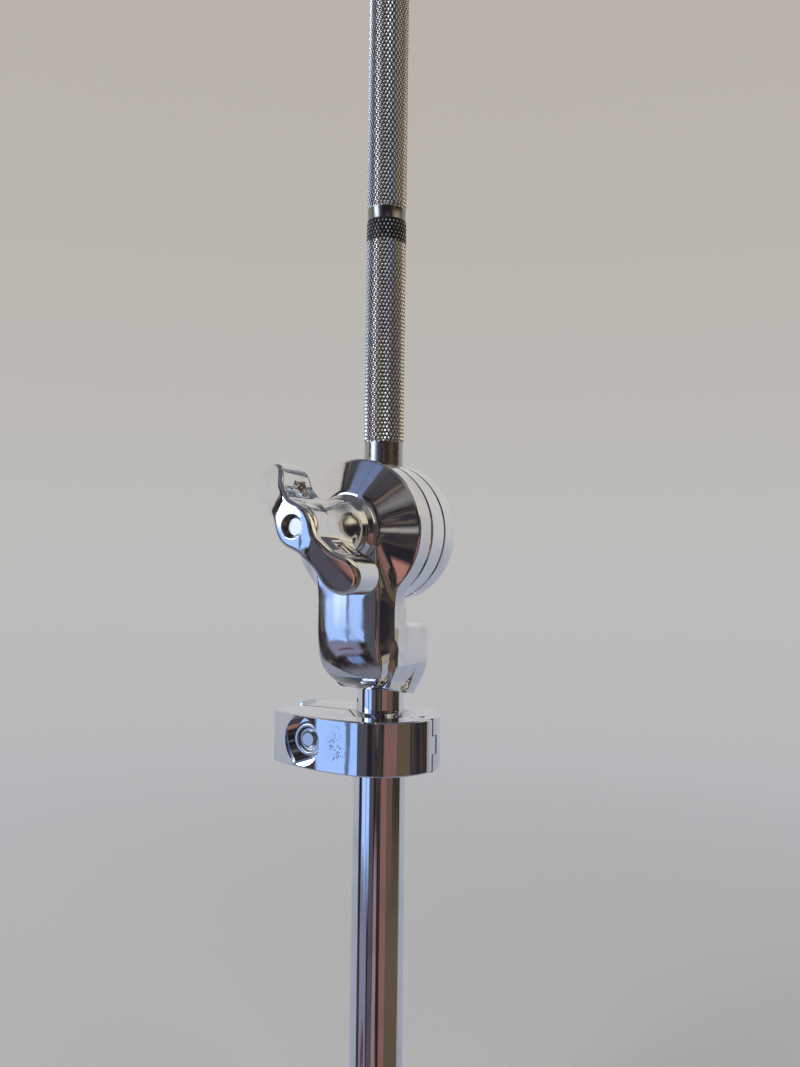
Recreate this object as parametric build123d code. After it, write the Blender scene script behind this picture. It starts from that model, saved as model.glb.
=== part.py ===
from build123d import *

import os
from math import cos, radians, sin

# Upper section of a boom cymbal stand, in millimetres. Z runs up the tube, Y along the tilter
# bolt towards the back, X to the right. The origin is the centre of the tube's lower end.

# Driving dimensions
TILT_Z = 230.0              # height of the tilter bolt above the tube's lower end
TUBE_R = 9.525              # 3/4 in tube
TUBE_BORE_R = 8.0
NECK_R = 8.65               # swaged top of the tube
NECK_BORE_R = 7.65
ROD_R = 7.0                 # plain boom rod
KNURL_R = 7.37              # over the knurl's points
CHANNEL_R = 7.45            # anything that the knurled rod runs through
DISC_R = 25.0               # tilter head and clamp discs
STUD_R = 4.0                # M8
KEY_SCREW_R = 3.0           # M6
RUN = 0.05                  # radial running clearance
SEAM = 0.05                 # gap between flat faces of different bodies

# Tilter body, measured from the bolt axis
FRONT_Y = -25.7             # flat front of the neck and the boss
RIM_Y = -18.5               # edge between the cone and the drum
BODY_BACK_Y = -10.2
BOSS_R = 12.3
NECK_FRONT_HALF = 12.1
NECK_BACK_HALF = 14.5
NECK_BLEND_R = 14.0         # hollow curve from the round head into the neck
CURVE_START = -33.0         # below this height the front curves back
SKIRT_BOTTOM = -55.0
COLLAR_HALF = 14.9          # flat sides of the collar round the tube
COLLAR_FRONT_Y = -16.5
COLLAR_BACK_Y = 16.0
COLLAR_BACK_R = 11.2        # its rounded back corners
COLLAR_TOP = -33.0
COLLAR_TAPER = -46.5        # below this height it narrows
COLLAR_BOTTOM = -59.5
WEB_R = 9.2                 # thin column between the discs and the collar
TUBE_TOP = -39.0            # tube's end inside the collar
NECK_START = -68.0          # where the swaged neck begins
SPIGOT_R = 9.325            # lower end, sized to enter the stand's clamp
SPIGOT_TOP = 25.0           # height of the step above it, which marks the insertion depth

# Clamp discs and eye bolt
BRAKE_Y = -9.6              # front of the front disc, where it meets the brake ring
DISC_GAP = 0.3              # half the slot between the discs
REAR_DISC_Y = 8.8
REAR_DOME_Y = 13.5
EYE_R = 10.6
EYE_FRONT_Y = -13.2
EYE_BACK_Y = 10.2
STUD_END_Y = -55.6

# Boom rod, heights above the bolt axis
ROD_TAIL = -22.0
GRIP_TOP = 20.0
KNURL_START = 32.3
GROOVE_BOTTOM = 113.6
GROOVE_TOP = 117.8
KNURL_END = 218.0
ROD_TOP = 232.0

# Wing nut
NUT_FRONT_Y = -58.0
NUT_BACK_Y = -28.3
WING_ANGLE = 132.0          # from +X towards +Z
WING_REACH = 26.5
LOBE_R = 6.35
LOBE_FRONT_Y = -52.0
LOBE_BACK_Y = -36.5
HUB_FRONT_R = 7.6
HUB_BACK_R = 10.8

# Memory lock
LOCK_TOP = -65.1
LOCK_BOTTOM = -83.7
LOCK_R = 21.9
LUG_X = -37.0
LUG_HALF = 13.6
LUG_FACE_R = 100.0          # gentle curve of the lug's front and back
LOCK_GAP = 0.4              # half the gap between the two halves
CLAMP_X = -21.0             # key screw
POCKET_R = 8.7
NUT_FLOOR = 13.0            # distance from the split to the floor of the nut's pocket
SCREW_FLOOR = 9.0           # the same for the screw head's pocket
NUT_FACE = 15.2
NUT_R = 6.4
HINGE_X = 17.4
KNUCKLE_R = 4.5
HINGE_PIN_R = 1.5


def along_z(radius, bottom, top, x=0.0, y=0.0):
    """Upright cylinder; heights are from the bolt axis."""
    column = Cylinder(radius, top - bottom, align=(Align.CENTER, Align.CENTER, Align.MIN))
    return Pos(x, y, TILT_Z + bottom) * column


def along_y(radius, front, back, x=0.0, z=0.0):
    """Cylinder lying along the bolt, from front to back."""
    column = Cylinder(radius, back - front, align=(Align.CENTER, Align.CENTER, Align.MIN))
    return Pos(x, front, TILT_Z + z) * Rot(-90, 0, 0) * column


def turned_on_bolt(points, x=0.0, z=0.0):
    """Solid of revolution about a line along Y, from (radius, y) points."""
    profile = make_face(Polyline(*points, close=True))
    return Pos(x, 0, TILT_Z + z) * revolve(profile, axis=Axis.Y)


def turned_on_tube(points):
    """Solid of revolution about the tube, from (radius, z) points."""
    profile = Plane.XZ * make_face(Polyline(*points, close=True))
    return Pos(0, 0, TILT_Z) * revolve(profile, axis=Axis.Z)


def block(x0, x1, y0, y1, z0, z1):
    """Box between two corners; heights are from the bolt axis."""
    box = Box(x1 - x0, y1 - y0, z1 - z0, align=(Align.MIN, Align.MIN, Align.MIN))
    return Pos(x0, y0, TILT_Z + z0) * box


# ---- fixed to the tube ----

def make_tube():
    """Plated tube with a swaged neck that fits the tilter body, and a sized lower end."""
    step = SPIGOT_TOP - TILT_Z
    outer = turned_on_tube([
        (0, -TILT_Z), (SPIGOT_R - 0.5, -TILT_Z), (SPIGOT_R, -TILT_Z + 0.5), (SPIGOT_R, step), (TUBE_R, step + 0.2),
        (TUBE_R, NECK_START - 1.0), (NECK_R, NECK_START), (NECK_R, TUBE_TOP), (0, TUBE_TOP),
    ])
    bore = turned_on_tube([
        (0, -TILT_Z - 1), (TUBE_BORE_R, -TILT_Z - 1), (TUBE_BORE_R, NECK_START - 2.0),
        (NECK_BORE_R, NECK_START - 1.0), (NECK_BORE_R, TUBE_TOP + 1), (0, TUBE_TOP + 1),
    ])
    return outer - bore


def keyhole(head_r, neck_half, blend_r, bottom_r):
    """Round head with a straight neck below it, in the XZ plane, centred on the bolt."""
    neck = Pos(0, SKIRT_BOTTOM / 2 - 4) * Rectangle(2 * neck_half, -SKIRT_BOTTOM + 8)
    sketch = Circle(head_r) + neck
    upper = sketch.vertices().filter_by(lambda v: -30 < v.Y < -1)
    sketch = fillet(upper, blend_r)
    lower = sketch.vertices().filter_by(lambda v: v.Y < SKIRT_BOTTOM)
    return fillet(lower, bottom_r)


def upright(sketch, y):
    """Places a flat (x, z) sketch at depth y, at the bolt's height."""
    return Plane(origin=(0, y, TILT_Z), x_dir=(1, 0, 0), z_dir=(0, -1, 0)) * sketch


def make_collar():
    """Flat-sided block with a rounded back, tapered at the bottom; the tube goes into it."""
    length = COLLAR_BACK_Y - COLLAR_FRONT_Y
    plan = Pos(0, (COLLAR_BACK_Y + COLLAR_FRONT_Y) / 2) * Rectangle(2 * COLLAR_HALF, length)
    plan = fillet(plan.vertices().group_by(Axis.Y)[-1], COLLAR_BACK_R)
    plan = fillet(plan.vertices().group_by(Axis.Y)[0], 6.0)
    upper = extrude(plan, COLLAR_TOP - COLLAR_TAPER)
    upper = fillet(upper.faces().sort_by(Axis.Z)[-1].edges(), 1.0)
    lower = extrude(plan, COLLAR_BOTTOM - COLLAR_TAPER - 0.5, taper=20)
    return Pos(0, 0, TILT_Z + COLLAR_TAPER) * (upper + lower)


def make_tilter_body():
    """Cast head and neck: a coned drum on the bolt, a flat-fronted neck, and a collar round the tube."""
    front = upright(keyhole(BOSS_R, NECK_FRONT_HALF, 30.0, 10.5), FRONT_Y)
    rim = upright(keyhole(DISC_R, NECK_BACK_HALF, NECK_BLEND_R, 13.5), RIM_Y)
    shell = loft([front, rim], ruled=True)
    drum = extrude(rim, -(BODY_BACK_Y - RIM_Y))
    collar = make_collar()
    web = along_z(WEB_R, COLLAR_TOP, -19.0)
    side = make_face([
        Line((FRONT_Y, 30), (FRONT_Y, CURVE_START)),
        TangentArc((FRONT_Y, CURVE_START), (-10.5, SKIRT_BOTTOM), tangent=(0, -1)),
        Line((-10.5, SKIRT_BOTTOM), (20, COLLAR_BOTTOM - 1)),
        Line((20, COLLAR_BOTTOM - 1), (20, 30)),
        Line((20, 30), (FRONT_Y, 30)),
    ])
    side_plane = Plane(origin=(0, 0, TILT_Z), x_dir=(0, 1, 0), z_dir=(1, 0, 0))
    side_cut = extrude(side_plane * side, 40, both=True)
    body = (shell + drum + collar) & side_cut
    body += web
    body -= along_y(DISC_R + 0.35, BODY_BACK_Y, 30)
    body -= along_y(EYE_R + 0.4, EYE_FRONT_Y - 0.3, 0)
    body -= along_y(STUD_R + 1.6, FRONT_Y - 1, 0)
    body -= along_z(CHANNEL_R + 0.3, COLLAR_TOP - 1, 0)
    body -= along_z(NECK_R, -70, COLLAR_TOP)
    body -= along_y(2.5, 0, 20, z=-41)
    return body


def make_set_screw():
    """Hexagon-socket set screw that holds the tube in the collar."""
    screw = along_y(2.5, NECK_R, 15.0, z=-41)
    socket = Plane(origin=(0, 12.0, TILT_Z - 41), z_dir=(0, 1, 0)) * RegularPolygon(1.45, 6)
    return screw - extrude(socket, 5)


def make_guide_bush():
    """Plastic bush on the tube's end that guides the rod into the tube."""
    return along_z(NECK_R, TUBE_TOP, COLLAR_TOP) - along_z(CHANNEL_R, TUBE_TOP - 1, COLLAR_TOP + 1)


def make_stud_bush():
    """Plain bearing for the bolt in the tilter head."""
    sleeve = along_y(STUD_R + 1.6, FRONT_Y, EYE_FRONT_Y - 0.3)
    return sleeve - along_y(STUD_R + RUN, FRONT_Y - 1, 0)


def make_brake_ring():
    """Friction ring between the tilter head and the front disc."""
    ring = along_y(23.6, BODY_BACK_Y, BRAKE_Y - SEAM)
    return ring - along_y(13.0, BODY_BACK_Y - 1, 0)


# ---- the part that tilts ----

def guide_pin_places():
    """X positions of the two pins that keep the discs in line."""
    return [-16.5, 16.5]


def drill_disc(disc):
    """Cuts the eye's bore, the rod's channel and the pin holes."""
    disc -= along_y(EYE_R, -20, EYE_BACK_Y)
    disc -= along_z(CHANNEL_R, -30, 30)
    for x in guide_pin_places():
        disc -= along_y(1.5, -7.0, 6.0, x=x)
    return disc


def make_front_disc():
    """Front clamp disc."""
    disc = turned_on_bolt([
        (0, BRAKE_Y), (DISC_R - 0.5, BRAKE_Y), (DISC_R, BRAKE_Y + 0.5),
        (DISC_R, -DISC_GAP - 0.4), (DISC_R - 0.4, -DISC_GAP), (0, -DISC_GAP),
    ])
    return drill_disc(disc)


def make_rear_disc():
    """Rear clamp disc, with a low dome over the eye."""
    disc = turned_on_bolt([
        (0, DISC_GAP), (DISC_R - 0.4, DISC_GAP), (DISC_R, DISC_GAP + 0.4), (DISC_R, REAR_DISC_Y - 0.8),
        (DISC_R - 0.8, REAR_DISC_Y), (0, REAR_DISC_Y),
    ])
    edge = DISC_R - 1.6
    rise = REAR_DOME_Y - REAR_DISC_Y
    dome_r = (edge**2 + rise**2) / (2 * rise)
    dome = Pos(0, REAR_DOME_Y - dome_r, TILT_Z) * Sphere(dome_r)
    disc += dome & along_y(edge, REAR_DISC_Y - 1, REAR_DOME_Y + 1)
    return drill_disc(disc)


def make_guide_pins():
    """Two dowels across the slot between the discs."""
    pins = [along_y(1.5, -6.5, 5.5, x=x) for x in guide_pin_places()]
    return Compound(children=pins)


def make_eye_bolt():
    """Eye round the rod, with the stud that the wing nut pulls."""
    eye = turned_on_bolt([
        (0, EYE_FRONT_Y), (EYE_R - 1, EYE_FRONT_Y), (EYE_R, EYE_FRONT_Y + 1),
        (EYE_R, EYE_BACK_Y - 1), (EYE_R - 1, EYE_BACK_Y), (0, EYE_BACK_Y),
    ])
    eye -= along_z(CHANNEL_R, -20, 20)
    stud = turned_on_bolt([
        (0, STUD_END_Y), (2.6, STUD_END_Y), (STUD_R, STUD_END_Y + 1.4),
        (STUD_R, EYE_FRONT_Y + 1), (0, EYE_FRONT_Y + 1),
    ])
    return eye + stud


# ---- the boom rod ----

def make_boom_rod():
    """Knurled rod with a plain band at the head, a marking groove and a plain top end."""
    return turned_on_tube([
        (0, ROD_TAIL), (KNURL_R - 0.6, ROD_TAIL), (KNURL_R, ROD_TAIL + 0.6),
        (KNURL_R, GRIP_TOP), (ROD_R, GRIP_TOP + 0.4), (ROD_R, KNURL_START - 0.4),
        (KNURL_R, KNURL_START), (KNURL_R, GROOVE_BOTTOM), (ROD_R, GROOVE_BOTTOM + 0.4),
        (ROD_R, GROOVE_TOP - 0.4), (KNURL_R, GROOVE_TOP), (KNURL_R, KNURL_END),
        (ROD_R, KNURL_END + 0.4), (ROD_R, ROD_TOP - 1.0), (ROD_R - 1.0, ROD_TOP), (0, ROD_TOP),
    ]) - along_z(3.5, ROD_TAIL - 1, ROD_TAIL + 9)


def make_tail_plug():
    """Plastic plug pressed into the rod's lower end."""
    return turned_on_tube([
        (0, ROD_TAIL - 1.6), (5.6, ROD_TAIL - 1.6), (6.6, ROD_TAIL - 0.6), (6.6, ROD_TAIL),
        (3.5, ROD_TAIL), (3.5, ROD_TAIL + 8), (0, ROD_TAIL + 8),
    ])


# ---- wing nut ----

def make_thrust_washer():
    """Domed washer between the wing nut and the head."""
    back = FRONT_Y - SEAM
    profile = make_face([
        Line((STUD_R + 0.3, back), (BOSS_R - 0.3, back)),
        ThreePointArc((BOSS_R - 0.3, back), (BOSS_R - 0.1, back - 1.0), (BOSS_R - 1.8, NUT_BACK_Y)),
        Line((BOSS_R - 1.8, NUT_BACK_Y), (STUD_R + 0.3, NUT_BACK_Y)),
        Line((STUD_R + 0.3, NUT_BACK_Y), (STUD_R + 0.3, back)),
    ])
    return Pos(0, 0, TILT_Z) * revolve(profile, axis=Axis.Y)


def wing_plan():
    """Outline of the wings seen along the bolt: two round lobes and a hub, joined by hollow waists."""
    centre = WING_REACH - LOBE_R
    lobes = [Pos(side * centre, 0) * Circle(LOBE_R) for side in (-1, 1)]
    bar = Rectangle(2 * centre, 2 * LOBE_R - 1.6)
    return Circle(HUB_FRONT_R) + lobes + bar


def make_wing_nut():
    """Cast wing nut with swept-back lobes on a tapered hub."""
    wings = extrude(wing_plan(), LOBE_BACK_Y - NUT_FRONT_Y)
    side = make_face([
        Line((-7.0, 0), (7.0, 0)),
        Spline((7.0, 0), (12.5, LOBE_FRONT_Y - NUT_FRONT_Y - 1.6), (WING_REACH, 7.0),
               tangents=[(1, 0), (1, 0)]),
        Line((WING_REACH, 7.0), (WING_REACH, 19.5)),
        Line((WING_REACH, 19.5), (9.0, 22.0)),
        Line((9.0, 22.0), (-9.0, 22.0)),
        Line((-9.0, 22.0), (-WING_REACH, 19.5)),
        Line((-WING_REACH, 19.5), (-WING_REACH, 7.0)),
        Spline((-WING_REACH, 7.0), (-12.5, LOBE_FRONT_Y - NUT_FRONT_Y - 1.6), (-7.0, 0),
               tangents=[(1, 0), (1, 0)]),
    ])
    wings &= extrude(Plane(origin=(0, 0, 0), x_dir=(1, 0, 0), z_dir=(0, -1, 0)) * side, 20, both=True)
    placed = Plane(origin=(0, NUT_FRONT_Y, TILT_Z), x_dir=(cos(radians(WING_ANGLE)), 0, sin(radians(WING_ANGLE))),
                   z_dir=(0, 1, 0))
    nut = placed.location * wings
    nut += turned_on_bolt([
        (0, NUT_FRONT_Y), (HUB_FRONT_R - 1, NUT_FRONT_Y), (HUB_FRONT_R, NUT_FRONT_Y + 1),
        (HUB_FRONT_R, LOBE_FRONT_Y), (HUB_BACK_R, -33.0), (HUB_BACK_R, NUT_BACK_Y - SEAM),
        (0, NUT_BACK_Y - SEAM),
    ])
    nut -= along_y(STUD_R + 0.3, NUT_FRONT_Y - 1, 0)
    nut -= along_y(6.0, -50.0, 0)
    return nut


def make_wing_insert():
    """Threaded steel insert cast into the wing nut."""
    sleeve = along_y(6.0, -50.0, NUT_BACK_Y - SEAM)
    return sleeve - along_y(STUD_R + RUN, -60, 0)


# ---- memory lock ----

def lock_outline():
    """Round collar with a tapered lug whose faces bulge gently, seen from above."""
    middle_x = LUG_X / 2
    middle_y = LOCK_R - LUG_FACE_R + (LUG_FACE_R**2 - middle_x**2) ** 0.5
    lug = make_face([
        Line((0, LOCK_R), (0, -LOCK_R)),
        ThreePointArc((0, -LOCK_R), (middle_x, -middle_y), (LUG_X, -LUG_HALF)),
        Line((LUG_X, -LUG_HALF), (LUG_X, LUG_HALF)),
        ThreePointArc((LUG_X, LUG_HALF), (middle_x, middle_y), (0, LOCK_R)),
    ])
    outline = Circle(LOCK_R) + lug
    return fillet(outline.vertices().group_by(Axis.X)[0], 1.0)


def lock_blank():
    """The whole lock before it is split: outline, tube bore and countersink."""
    blank = Pos(0, 0, TILT_Z + LOCK_BOTTOM) * extrude(lock_outline(), LOCK_TOP - LOCK_BOTTOM)
    blank = chamfer(blank.faces().sort_by(Axis.Z)[-1].outer_wire().edges(), 0.5)
    blank = chamfer(blank.faces().sort_by(Axis.Z)[0].outer_wire().edges(), 0.5)
    blank -= along_z(TUBE_R + RUN, -90, -60)
    return blank - turned_on_tube([
        (0, LOCK_TOP + 1), (13.0, LOCK_TOP + 1), (13.0, LOCK_TOP), (TUBE_R, LOCK_TOP - 3.4),
        (0, LOCK_TOP - 3.4),
    ])


def knuckle_bands():
    """Heights of the lower, centre and upper hinge knuckles, with running gaps between them."""
    third = (LOCK_TOP - LOCK_BOTTOM) / 3
    lower = (LOCK_BOTTOM, LOCK_BOTTOM + third - 0.15)
    centre = (LOCK_BOTTOM + third, LOCK_TOP - third)
    upper = (LOCK_TOP - third + 0.15, LOCK_TOP)
    return lower, centre, upper


def clamp_z():
    """Height of the key screw, half-way up the lock."""
    return (LOCK_TOP + LOCK_BOTTOM) / 2


def make_lock_front():
    """Front half: carries the nut and the hinge's centre knuckle."""
    lower, centre, upper = knuckle_bands()
    half = lock_blank() & block(-60, 60, -60, -LOCK_GAP, -90, -60)
    for bottom, top in (lower, upper):
        half -= along_z(KNUCKLE_R + 0.3, bottom - 0.15, top + 0.15, x=HINGE_X)
    half += along_z(KNUCKLE_R, *centre, x=HINGE_X) - along_z(TUBE_R + 2, -90, -60)
    half -= along_z(HINGE_PIN_R, -90, -60, x=HINGE_X)
    half -= along_y(POCKET_R, -30, -NUT_FLOOR, x=CLAMP_X, z=clamp_z())
    half -= along_y(NUT_R, -30, -3.5, x=CLAMP_X, z=clamp_z())
    half -= along_y(KEY_SCREW_R + 0.4, -30, 0, x=CLAMP_X, z=clamp_z())
    return half


def make_lock_rear():
    """Rear half: swings on the hinge; the key screw passes through it."""
    lower, centre, upper = knuckle_bands()
    half = lock_blank() & block(-60, 60, LOCK_GAP, 60, -90, -60)
    half -= along_z(KNUCKLE_R + 0.3, centre[0] - 0.15, centre[1] + 0.15, x=HINGE_X)
    for bottom, top in (lower, upper):
        half += along_z(KNUCKLE_R, bottom, top, x=HINGE_X) - along_z(TUBE_R + 2, -90, -60)
    half += block(LUG_X, LUG_X + 1.2, 3.0, LUG_HALF - 1.0, LOCK_TOP - 1, LOCK_TOP + 0.9)
    half -= along_z(HINGE_PIN_R + RUN, -90, -60, x=HINGE_X)
    half -= along_y(POCKET_R, SCREW_FLOOR, 30, x=CLAMP_X, z=clamp_z())
    half -= along_y(KEY_SCREW_R + 1.3, 0, 30, x=CLAMP_X, z=clamp_z())
    return half


def make_hinge_pin():
    """Pin that joins the two halves."""
    return along_z(HINGE_PIN_R, LOCK_BOTTOM + 0.3, LOCK_TOP - 0.3, x=HINGE_X)


def make_lock_nut():
    """Round nut pressed into the front half, with a ring groove in its face."""
    nut = along_y(NUT_R, -NUT_FACE, -3.5, x=CLAMP_X, z=clamp_z())
    nut -= along_y(KEY_SCREW_R + RUN, -20, 0, x=CLAMP_X, z=clamp_z())
    groove = along_y(4.5, -NUT_FACE, 1.3 - NUT_FACE, x=CLAMP_X, z=clamp_z())
    return nut - groove


def make_screw_washer():
    """Washer under the key screw's head."""
    ring = along_y(6.6, SCREW_FLOOR + SEAM, SCREW_FLOOR + 1.5, x=CLAMP_X, z=clamp_z())
    return ring - along_y(KEY_SCREW_R + 0.2, 0, 30, x=CLAMP_X, z=clamp_z())


def make_key_screw():
    """Square-headed screw turned with a drum key."""
    seat = SCREW_FLOOR + 1.5 + SEAM
    screw = turned_on_bolt([
        (0, -NUT_FACE), (2.3, -NUT_FACE), (KEY_SCREW_R, 0.7 - NUT_FACE), (KEY_SCREW_R, seat), (5.6, seat),
        (5.6, seat + 1.6), (4.2, seat + 2.2), (0, seat + 2.2),
    ], x=CLAMP_X, z=clamp_z())
    head = block(-3.1, 3.1, seat + 2.0, seat + 8.5, -3.1, 3.1)
    head = chamfer(head.faces().sort_by(Axis.Y)[-1].edges(), 0.6)
    return screw + Pos(CLAMP_X, 0, clamp_z()) * head


PARTS = {
    "tube": make_tube,
    "tilter_body": make_tilter_body,
    "tube_set_screw": make_set_screw,
    "rod_guide_bush": make_guide_bush,
    "stud_bush": make_stud_bush,
    "brake_ring": make_brake_ring,
    "front_clamp_disc": make_front_disc,
    "rear_clamp_disc": make_rear_disc,
    "disc_guide_pins": make_guide_pins,
    "eye_bolt": make_eye_bolt,
    "boom_rod": make_boom_rod,
    "rod_tail_plug": make_tail_plug,
    "thrust_washer": make_thrust_washer,
    "wing_nut": make_wing_nut,
    "wing_nut_insert": make_wing_insert,
    "memory_lock_front": make_lock_front,
    "memory_lock_rear": make_lock_rear,
    "lock_hinge_pin": make_hinge_pin,
    "lock_nut": make_lock_nut,
    "key_screw_washer": make_screw_washer,
    "key_screw": make_key_screw,
}

os.makedirs("parts", exist_ok=True)
for node, make in PARTS.items():
    export_step(make(), f"parts/{node}.step")
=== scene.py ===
"""Looks for the upper section of a boom cymbal stand: chrome castings, a knurled rod and a memory lock."""

import math

import bmesh
import bpy
import numpy as np
from mathutils import Matrix, Vector


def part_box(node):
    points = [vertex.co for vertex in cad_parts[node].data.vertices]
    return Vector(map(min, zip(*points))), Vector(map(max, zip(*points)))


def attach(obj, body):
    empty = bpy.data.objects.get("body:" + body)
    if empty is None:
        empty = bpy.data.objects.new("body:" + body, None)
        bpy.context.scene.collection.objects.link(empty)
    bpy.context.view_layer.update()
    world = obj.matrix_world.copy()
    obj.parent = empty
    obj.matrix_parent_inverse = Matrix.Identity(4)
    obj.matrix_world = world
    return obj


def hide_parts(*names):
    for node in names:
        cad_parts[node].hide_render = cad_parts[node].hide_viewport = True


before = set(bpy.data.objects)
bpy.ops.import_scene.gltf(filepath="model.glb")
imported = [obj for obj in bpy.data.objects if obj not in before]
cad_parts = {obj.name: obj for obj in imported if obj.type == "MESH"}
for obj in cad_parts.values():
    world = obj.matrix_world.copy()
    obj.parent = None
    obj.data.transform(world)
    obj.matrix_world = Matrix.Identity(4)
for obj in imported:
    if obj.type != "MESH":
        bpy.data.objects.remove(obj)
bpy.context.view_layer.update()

MM = 0.001

# Places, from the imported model
tilt_z = sum(corner.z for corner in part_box("front_clamp_disc")) / 2   # height of the tilter bolt
disc_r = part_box("front_clamp_disc")[1].x
tube_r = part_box("tube")[1].x
rod_low, rod_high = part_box("boom_rod")
body_low, body_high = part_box("tilter_body")
nut_low, nut_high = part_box("wing_nut")
washer_low, washer_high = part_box("thrust_washer")


# ---------------------------------------------------------------- mesh tools

def make_object(name, verts, faces):
    """A mesh object in metres, with its normals pointing out."""
    mesh = bpy.data.meshes.new(name)
    mesh.from_pydata([tuple(v) for v in verts], [], faces)
    mesh.validate()
    work = bmesh.new()
    work.from_mesh(mesh)
    bmesh.ops.remove_doubles(work, verts=work.verts, dist=1e-7)
    bmesh.ops.recalc_face_normals(work, faces=work.faces)
    work.to_mesh(mesh)
    work.free()
    obj = bpy.data.objects.new(name, mesh)
    bpy.context.scene.collection.objects.link(obj)
    return obj


def rounded(points, steps=5):
    """Polyline of (u, v, radius) corners, where a radius above 0 turns the corner into an arc."""
    line = []
    for i, (u, v, radius) in enumerate(points):
        if radius == 0 or i in (0, len(points) - 1):
            line.append((u, v))
            continue
        corner = Vector((u, v))
        back = (Vector(points[i - 1][:2]) - corner).normalized()
        ahead = (Vector(points[i + 1][:2]) - corner).normalized()
        half = back.angle(ahead) / 2
        centre = corner + (back + ahead).normalized() * (radius / math.sin(half))
        start = corner + back * (radius / math.tan(half)) - centre
        end = corner + ahead * (radius / math.tan(half)) - centre
        turn = start.angle_signed(end)
        for k in range(steps + 1):
            a = -turn * k / steps
            line.append((centre.x + start.x * math.cos(a) - start.y * math.sin(a),
                         centre.y + start.x * math.sin(a) + start.y * math.cos(a)))
    return line


def with_support(profile, margin=0.15):
    """Adds points near the ends of long straight runs, so that smooth shading stays true along them."""
    line = [profile[0]]
    for (r0, d0), (r1, d1) in zip(profile, profile[1:]):
        length = math.hypot(r1 - r0, d1 - d0)
        if length > 6 * margin:
            for t in (margin / length, 1 - margin / length):
                line.append((r0 + (r1 - r0) * t, d0 + (d1 - d0) * t))
        line.append((r1, d1))
    return line


def lathe(name, profile, along, centre=(0, 0, 0), segments=128, closed=False):
    """Turned solid from (radius, distance) points in mm, about Y or Z through centre (metres)."""
    profile = with_support(profile)
    verts, rings = [], []
    for radius, distance in profile:
        if radius < 1e-6:
            rings.append([len(verts)] * segments)
            verts.append(on_axis(0, 0, distance, along, centre))
            continue
        rings.append(list(range(len(verts), len(verts) + segments)))
        for k in range(segments):
            a = 2 * math.pi * k / segments
            verts.append(on_axis(radius * math.cos(a), radius * math.sin(a), distance, along, centre))
    pairs = list(zip(rings, rings[1:]))
    if closed:
        pairs.append((rings[-1], rings[0]))
    faces = []
    for low, high in pairs:
        for k in range(segments):
            n = (k + 1) % segments
            loop = [low[k], low[n], high[n], high[k]]
            loop = [v for i, v in enumerate(loop) if v not in loop[:i]]
            if len(loop) > 2:
                faces.append(loop)
    return make_object(name, verts, faces)


def on_axis(u, v, distance, along, centre):
    """Point of a turned solid, in metres, with its axis along Y or Z."""
    if along == "Y":
        offset = Vector((u, distance, v))
    else:
        offset = Vector((u, v, distance))
    return offset * MM + Vector(centre)


def shade(obj, angle=30.0):
    """Smooth shading with sharp edges above the angle."""
    mesh = obj.data
    mesh.polygons.foreach_set("use_smooth", [True] * len(mesh.polygons))
    mesh.set_sharp_from_angle(angle=math.radians(angle))


def smooth_min(a, b, k):
    """Union of two distance fields with a fillet about k wide."""
    h = np.clip(0.5 + 0.5 * (b - a) / k, 0, 1)
    return b + (a - b) * h - k * h * (1 - h)


def smooth_max(a, b, k):
    """Intersection of two distance fields with an edge rounded over about k."""
    return -smooth_min(-a, -b, k)


def ramp(value, low, high):
    """Smooth step from 0 at low to 1 at high."""
    t = np.clip((value - low) / (high - low), 0, 1)
    return t * t * (3 - 2 * t)


def rounded_box(u, v, half_u, half_v, radius):
    """Distance field of a rectangle with rounded corners."""
    du, dv = np.abs(u) - half_u + radius, np.abs(v) - half_v + radius
    return np.hypot(np.maximum(du, 0), np.maximum(dv, 0)) + np.minimum(np.maximum(du, dv), 0) - radius


def gradient(field, points, step=0.004):
    """Slope of a field at points, in mm."""
    slopes = []
    for axis in range(3):
        shift = np.zeros(3)
        shift[axis] = step
        slopes.append((field(*(points + shift).T) - field(*(points - shift).T)) / (2 * step))
    return np.stack(slopes, axis=1)


def settle(field, points, cell, rounds):
    """Moves points onto the surface where the field is 0."""
    for _ in range(rounds):
        slope = gradient(field, points)
        steep = np.maximum((slope**2).sum(axis=1), 0.05)
        move = field(*points.T) / steep
        points = points - np.clip(move, -cell, cell)[:, None] * slope
    return points


def evened(points, quads):
    """Points moved half-way to the middle of their neighbours."""
    total = np.zeros_like(points)
    count = np.zeros(len(points))
    for a, b in ((0, 1), (1, 2), (2, 3), (3, 0)):
        for start, end in ((quads[:, a], quads[:, b]), (quads[:, b], quads[:, a])):
            np.add.at(total, start, points[end])
            np.add.at(count, start, 1)
    return 0.5 * points + 0.5 * total / count[:, None]


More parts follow.
